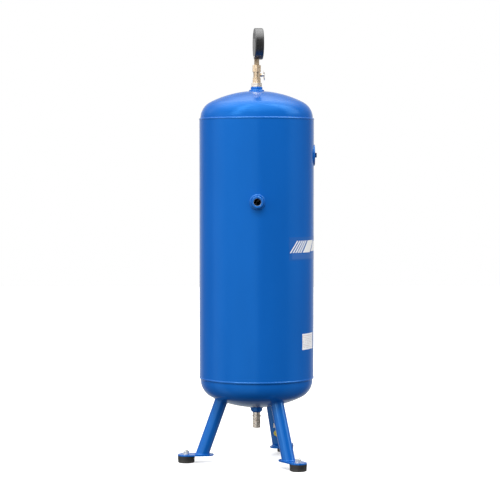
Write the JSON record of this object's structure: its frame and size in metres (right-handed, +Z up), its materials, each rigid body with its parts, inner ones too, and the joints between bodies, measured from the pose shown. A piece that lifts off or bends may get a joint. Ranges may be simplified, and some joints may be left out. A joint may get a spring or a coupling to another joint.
{
  "type": "air receiver tank",
  "caption": "Upright welded air receiver on three splayed tube legs with rubber feet, side ports, a dial gauge on a ball cock and a screw-down drain.",
  "frame": {"origin": "on the floor under the vessel's axis, midway between the three feet", "axes": "+Z up along the vessel; -Y is the front with the inspection port and dial; the side ports lie on -X and +X"},
  "size_m": [0.4515, 0.4505, 1.4051],
  "materials": {
    "blue_paint": "semi-gloss blue enamel, slightly orange-peeled",
    "dark_blue_paint": "blue enamel over a cast plug",
    "black_rubber": "matt moulded rubber",
    "zinc_steel": "bright zinc plate",
    "brass": "turned brass",
    "nickel": "nickel plate on brass",
    "sealing_white": "white sealing plastic",
    "black_case": "black powder coat",
    "lens": "clear window",
    "dial_white": "white enamel with black marks",
    "pointer_black": "satin black",
    "bronze": "spring bronze",
    "banner_film": "printed blue film",
    "data_film": "printed pale film",
    "sticker_film": "small printed stickers",
    "fibre": "sealing fibre"
  },
  "bodies": {
    "receiver": {"banner_label": "banner_film", "bezel_ring": "black_case", "blowout_plug": "black_rubber", "boss_welds": "blue_paint", "bottom_boss": "blue_paint", "bottom_head": "blue_paint", "bourdon_tube": "bronze", "cock_body": "brass", "cock_end": "brass", "cock_seals": "sealing_white", "data_label": "data_film", "dial_screws": "zinc_steel", "drain_body": "nickel", "foot_nuts": "zinc_steel", "foot_plate_left": "blue_paint", "foot_plate_rear": "blue_paint", "foot_plate_right": "blue_paint", "foot_studs": "zinc_steel", "foot_washers": "zinc_steel", "gauge_case": "black_case", "gauge_dial": "dial_white", "gauge_lens": "lens", "gauge_socket": "brass", "girth_welds": "blue_paint", "gland_nut": "brass", "hairspring": "bronze", "inspection_boss": "blue_paint", "inspection_plug": "dark_blue_paint", "inspection_seal": "fibre", "left_port_boss": "blue_paint", "leg_stickers": "sticker_film", "leg_tube_left": "blue_paint", "leg_tube_rear": "blue_paint", "leg_tube_right": "blue_paint", "leg_welds": "blue_paint", "movement_plates": "brass", "reducer_bush": "nickel", "right_port_boss": "blue_paint", "right_port_plug": "zinc_steel", "rubber_foot_left": "black_rubber", "rubber_foot_rear": "black_rubber", "rubber_foot_right": "black_rubber", "shell_seam_weld": "blue_paint", "socket_screws": "zinc_steel", "tank_shell": "blue_paint", "top_boss": "blue_paint", "top_head": "blue_paint", "tube_tip": "brass"},
    "cock_turning": {"cock_ball": "nickel", "cock_stem": "nickel", "cock_handle": "nickel", "handle_screw": "zinc_steel"},
    "gauge_pointer": {"pinion_shaft": "brass", "pointer": "pointer_black"},
    "gauge_sector": {"sector_gear": "brass"},
    "gauge_link": {"tip_link": "brass"},
    "drain_valve_poppet": {"drain_poppet": "brass", "drain_seal": "black_rubber"},
    "drain_valve_knob": {"drain_knob": "nickel", "drain_oring": "black_rubber"}
  },
  "joints": [
    {"name": "cock_quarter_turn", "type": "hinge", "parent": "receiver", "child": "cock_turning", "pos_m": [0, 0, 1.25408], "axis": [0.0872, -0.9962, 0], "range_deg": [0, 90]},
    {"name": "pointer_turn", "type": "hinge", "parent": "receiver", "child": "gauge_pointer", "pos_m": [0, 0, 1.35458], "axis": [-0.0872, 0.9962, 0], "range_deg": [0, 270], "stiffness_Nm_per_rad": 0.002, "springref_deg": -28.65},
    {"name": "sector_swing", "type": "hinge", "parent": "receiver", "child": "gauge_sector", "pos_m": [0, 0, 1.33538], "axis": [-0.0872, 0.9962, 0], "range_deg": [-39, 0]},
    {"name": "link_swing", "type": "hinge", "parent": "gauge_sector", "child": "gauge_link", "pos_m": [0.00389, 0.00034, 1.32728], "axis": [-0.0872, 0.9962, 0], "range_deg": [0, 39]},
    {"name": "drain_poppet_travel", "type": "slide", "parent": "receiver", "child": "drain_valve_poppet", "axis": [0, 0, -1], "range_m": [0, 0.002]},
    {"name": "drain_knob_turn", "type": "hinge", "parent": "drain_valve_poppet", "child": "drain_valve_knob", "pos_m": [0, 0, 0.13662], "axis": [0, 0, -1], "range_deg": [0, 360]}
  ],
  "couplings": [
    {"joint": "sector_swing", "follows": "pointer_turn", "ratio": -0.14286},
    {"joint": "link_swing", "follows": "pointer_turn", "ratio": 0.14286},
    {"joint": "drain_knob_turn", "follows": "drain_poppet_travel", "rad_per_m": 3141.6}
  ]
}
